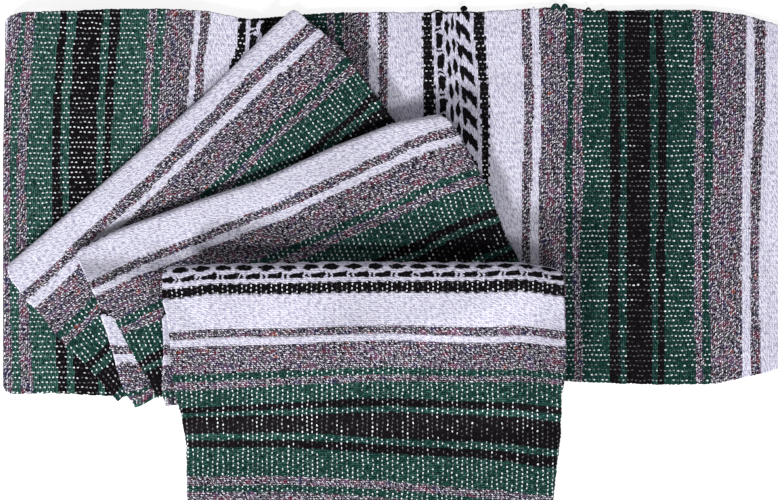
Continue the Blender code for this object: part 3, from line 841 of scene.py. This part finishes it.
class Weave:
    """Which yarns a point of the cloth lies on, and what those yarns are."""

    def __init__(self, f):
        self.f = f
        self.along, self.across = f.places("woven")
        self.patch = f.bumps("patch", self.along, self.across)
        self.find_yarns()
        self.find_stripes(f.places("sequence")[0])
        self.luck = f.chance(self.warp, self.weft, 10.0)
        slant = self.along + self.off_weft * SPIN_SLANT
        self.strand, self.streak = (
            f.noise(slant / (length * MM), self.weft * apart + self.off_weft * through, layer,
                    detail)
            for length, apart, through, layer, detail in (STRANDS, STREAKS))

    def find_yarns(self):
        """The nearest warp and weft, how far off their middles the point lies, in spacings, and
        how high the weft stands there: a cosine across it, times one along it."""
        drift, self.sway, self.wobble = (self.f.bumps(kind, self.along, self.across) - 0.5
                                         for kind in ("drift", "sway", "wobble"))
        a = self.along / WARP + drift * WARP_DRIFT + self.wobble * WARP_WOBBLE
        b = (self.across / WEFT + self.sway * WEFT_SWAY + self.wobble * WEFT_WOBBLE
             + (a * TURN).cosine() * WEFT_BEND)
        self.warp, self.weft = a.whole(), b.whole()
        self.off_warp, self.off_weft = a - self.warp, b - self.weft
        self.odd = (self.warp + self.weft).to_and_fro(1.0)
        ridge, swell = ((off * TURN).cosine() * 0.5 + 0.5
                        for off in (self.off_weft, self.off_warp))
        self.over = ridge * (0.5 + 0.5 * (swell * (1 - self.odd) + (1 - swell) * self.odd))

    def find_stripes(self, sequence):
        """How far the point lies on green, marled, black and plain white yarn, from 0 to 1, and
        on the ground, the floats and the borders of the patterned stripe."""
        f = self.f
        off = self.off_weft * WEFT
        place = sequence - off + self.sway * STRIPE_SWAY + self.wobble * STRIPE_WOBBLE
        share = place.to_and_fro(HALF_REPEAT) / HALF_REPEAT
        yarn = f.node("ShaderNodeValToRGB", {"stops": yarn_stops()}, {0: share})
        self.green = f.node("ShaderNodeSeparateColor", {}, {0: yarn})
        self.marled = self.green.output(2)
        repeat = sequence / (2 * HALF_REPEAT)
        middle = sequence - repeat.whole() * (2 * HALF_REPEAT)
        from_middle = abs(middle - off)
        scallop = (self.along * (TURN / SCALLOP)).cosine() * SCALLOP_DEPTH
        start, end = (f.rise(from_middle, edge - BORDER_SOFT, edge + BORDER_SOFT)
                      for edge in (BORDER[0] - scallop, BORDER[1] + scallop))
        self.in_border = start * (1 - end)
        self.in_pattern = 1 - f.rise(abs(middle), *GROUND_END)
        self.floats = float_pattern(f, self.along, middle) * self.in_pattern
        self.black = self.green.output(1).most(self.in_border).most(self.floats)
        self.plain = 1 - self.green.most(self.marled).most(self.black)

    def by_yarn(self, white, green, marled, black):
        """The colour of the yarn that the point lies on."""
        colour = self.f.blend(self.green, white, green)
        colour = self.f.blend(self.marled, colour, marled)
        return self.f.blend(self.black, colour, black)


def marled_yarn(f, along, across):
    """Marled yarn: dark, with mid-grey hairs, flecks of dyed fibre, and pale tufts on top."""
    hair = f.bumps("hair", along + across, along - across)
    tuft = f.bumps("tuft", along + across, along - across)
    marl = f.blend(f.rise(hair, *MARL_HAIRS), MARL_DARK, MARL_MID)
    for number, (hue, rare, strong) in enumerate(FLECKS):
        spot = f.bumps("fleck", along, across, FLECK_LAYERS * number)
        marl = f.blend(f.rise(spot, rare, rare + FLECK_STEP) * strong, marl, hue)
    return f.blend(f.rise(tuft, *MARL_TUFTS), marl, MARL_LIGHT)


def warp_dots(f, weave, open_weave):
    """The white dots where a warp passes over a weft, and how much of each one shows."""
    thick = 0.8 + 0.4 * weave.luck
    off = (weave.off_warp + weave.wobble * 0.2) / DOT_LENGTH
    far = off * off + weave.off_weft * weave.off_weft * DOT_FLATTEN
    dot = (1 - f.rise(far * thick, *DOT_EDGE)) * weave.odd
    row_chance = (f.chance(weave.warp, (weave.across / DOT_ROWS).whole(), 9.0) * 0.35
                  + f.chance(weave.warp, 0.0, 11.0) * 0.25
                  + f.chance(weave.warp, weave.weft, 13.0) * 0.40)
    bare = (BARE - open_weave * (1 - 0.3 * weave.black) + BARE_BLACK * weave.black
            - BARE_GREEN * weave.green - BARE_BORDER * weave.in_border)
    lit = f.rise(row_chance + (weave.patch - 0.5) * 0.7, bare, bare + BARE_STEP)
    shown = (0.12 + 0.88 * lit) * f.rise(weave.luck, *DOT_LUCK)
    shown = shown * (1 - weave.floats * 0.9) * (1 - 0.75 * weave.marled)
    return dot, shown * (1 - weave.in_pattern * weave.plain * 0.9)


def woven_finish(name, open_weave, slope):
    """The striped cloth: weft yarns in the stripe sequence, over and under white warps. The
    more open the weave is, the more of the warps show. The slope is that of the marks in the
    white yarn, across for each length along."""
    f = Finish(name, roughness=0.95)
    weave = Weave(f)
    along, across, plain = weave.along, weave.across, weave.plain

    # The yarns' own colours
    mark = f.bumps("mark", along + across * slope, across - along * slope)
    white = f.blend(f.rise(mark, *WHITE_MARKS), WHITE, WHITE_MARK)
    green = f.blend(f.rise(weave.strand, *GREEN_STRANDS), GREEN_DEEP, GREEN)
    paler = GREEN_PALER - GREEN_OPEN * open_weave
    green = f.blend(f.rise(weave.streak, paler, paler + GREEN_STEP) * 0.55, green, GREEN_LIGHT)
    black = f.blend(f.rise(weave.streak, *BLACK_STREAKS) * 0.5, BLACK, BLACK_LIGHT)
    colour = weave.by_yarn(white, green, marled_yarn(f, along, across), black)

    # Painted shade in the hollows between them, faint in the white yarn
    gap = 1 - f.rise(weave.over, 0.06, 0.5)
    # How strong the painted shade between the yarns is, for each yarn
    deep = 0.75 - plain * 0.62 + plain * weave.in_pattern * 0.30
    # The colours of that painted shade; the marled yarn's is its own dark hair colour
    gap_shade_colour = weave.by_yarn(WHITE_GAP_SHADE, GREEN_GAP_SHADE, MARL_DARK, BLACK_GAP_SHADE)
    colour = f.blend(gap * deep, colour, gap_shade_colour)

    # The warps' dots, and slow patches of lighter and darker cloth
    dot, shown = warp_dots(f, weave, open_weave)
    colour = f.blend(dot * shown, colour, WARP_WHITE)
    tone = 0.93 + 0.16 * (weave.patch - 0.35)
    colour = f.node("ShaderNodeVectorMath", {"operation": "SCALE"}, {0: colour, "Scale": tone})
    f.feed(f.shader.inputs["Base Color"], colour)

    height = (weave.over * (0.8 - 0.45 * plain) + dot * 0.5 + weave.strand * 0.35
              + mark * plain * -0.8)
    bump = f.node("ShaderNodeBump", {}, {"Height": height, "Strength": 0.7,
                                         "Distance": 0.9 * MM})
    f.feed(f.shader.inputs["Normal"], bump)
    return f.material


def cloth_flat(leaf):
    """The flat size of a leaf's cloth: its stripes' length, and its section's length."""
    v, z = wall_section(leaf, CLOTH / 2)
    return leaf.length, float(np.hypot(np.diff(v), np.diff(z)).sum())


woven = woven_finish("woven_stripes", open_weave=0.0, slope=-0.33)
open_woven = woven_finish("open_woven_stripes", open_weave=0.60, slope=-0.33)
page_woven = woven_finish("page_woven_stripes", open_weave=0.27, slope=0.48)
FINISHES = {"band": woven, "left_leaf": open_woven}
leaves = [Leaf(number, row) for number, row in enumerate(LEAF_ROWS)]
for leaf in leaves:
    below = leaves[:leaf.number]
    finish = FINISHES.get(leaf.name, page_woven)
    if leaf.name.startswith("under_leaf"):
        piece = add_piece(leaf.name + "_weave", ply_layers(leaf, below, 0.0), finish)
        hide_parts(leaf.name)
        continue
    shell = add_piece(leaf.name + "_weave", cloth_shell(leaf, below), finish)
    plies = add_piece(leaf.name + "_plies", ply_layers(leaf, below, CLOTH + GAP), finish)
    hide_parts(leaf.name + "_cloth")
    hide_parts(leaf.name + "_layers")
    if leaf.name == "band":
        add_piece("loose_yarns", loose_yarns(), woven)
    cloth_flat(leaf)

# The floor, the lights and the camera
FLOOR_DROP = 0.5 * MM  # how far the floor lies below the cloth
FLOOR_GLOW = 0.78
WORLD_LIGHT = 0.32
CAMERA_PLACE = (-0.0103, 0.0799, 12.0)
MID_HEIGHT = 35 * MM  # mid height of the pile
VIEW_WIDTH = 0.8402  # width of the view there

floor_mesh = bpy.data.meshes.new("floor")
floor_mesh.from_pydata([(-8, -8, 0), (8, -8, 0), (8, 8, 0), (-8, 8, 0)], [], [(0, 1, 2, 3)])
floor = bpy.data.objects.new("floor", floor_mesh)
scene.collection.objects.link(floor)
floor.location.z = -FLOOR_DROP
pale = Finish("pale_floor", roughness=0.8)
for socket, value in (("Base Color", (0.50, 0.50, 0.51, 1)), ("Emission Strength", FLOOR_GLOW),
                      ("Emission Color", (1.0, 1.0, 1.0, 1))):
    pale.feed(pale.shader.inputs[socket], value)
floor_mesh.materials.append(pale.material)


def add_lamp(name, place, size, watts):
    """A square soft light that points at the middle of the pile."""
    data = bpy.data.lights.new(name, "AREA")
    data.size = size
    data.energy = watts
    lamp = bpy.data.objects.new(name, data)
    lamp.location = place
    lamp.rotation_euler = (-Vector(place)).to_track_quat("-Z", "Y").to_euler()
    scene.collection.objects.link(lamp)


add_lamp("key", place=(-4.2, -4.5, 3.2), size=1.0, watts=555)
add_lamp("fill", place=(1.5, -2.9, 4.1), size=1.0, watts=108)
world = bpy.data.worlds.new("soft_studio")
world.use_nodes = True
background = world.node_tree.nodes["Background"].inputs
background["Color"].default_value = (1.0, 1.0, 1.0, 1)
background["Strength"].default_value = WORLD_LIGHT
scene.world = world
scene.view_settings.view_transform = "Standard"

camera_data = bpy.data.cameras.new("camera")
camera_data.lens = camera_data.sensor_width * (CAMERA_PLACE[2] - MID_HEIGHT) / VIEW_WIDTH
camera_data.clip_end = 40
camera = bpy.data.objects.new("camera", camera_data)
camera.location = CAMERA_PLACE
scene.collection.objects.link(camera)
scene.camera = camera
